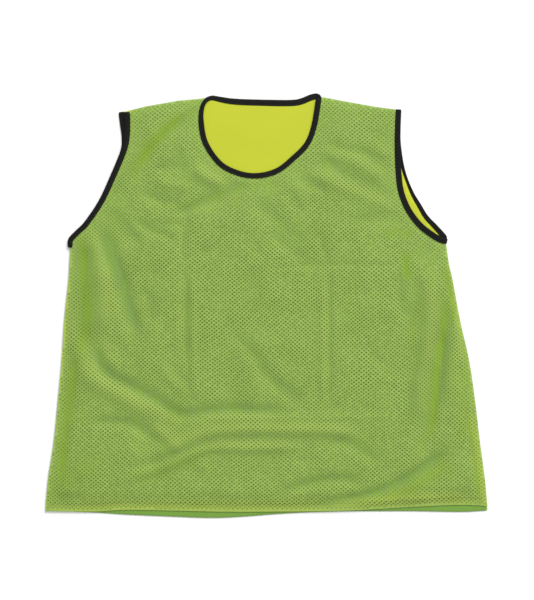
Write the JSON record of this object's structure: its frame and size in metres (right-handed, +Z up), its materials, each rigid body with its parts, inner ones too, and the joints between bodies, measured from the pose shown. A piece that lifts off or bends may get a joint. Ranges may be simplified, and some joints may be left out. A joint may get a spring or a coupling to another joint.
{
  "type": "reversible vest",
  "caption": "Sleeveless reversible training vest lying flat, front up: green mesh outside, yellow knit inside, black bound neck and armholes.",
  "frame": {"origin": "on the surface that the vest lies on, under the centre of its bounding box", "axes": "+X to the wearer's left, +Y from the hem to the neck, +Z up out of the front"},
  "size_m": [0.664, 0.6362, 0.0098],
  "materials": {
    "mesh": "matte knitted mesh, yellowish green",
    "lining": "smooth fine knit, bright greenish yellow",
    "tape": "matte black binding tape"
  },
  "bodies": {
    "root": {"back_mesh": "mesh", "back_lining": "lining", "front_lining": "lining", "front_mesh": "mesh", "back_hem": "mesh", "back_neck_binding": "tape", "back_left_armhole_binding": "tape", "back_right_armhole_binding": "tape", "front_hem": "mesh", "front_neck_binding": "tape", "front_left_armhole_binding": "tape", "front_right_armhole_binding": "tape"}
  },
  "joints": []
}
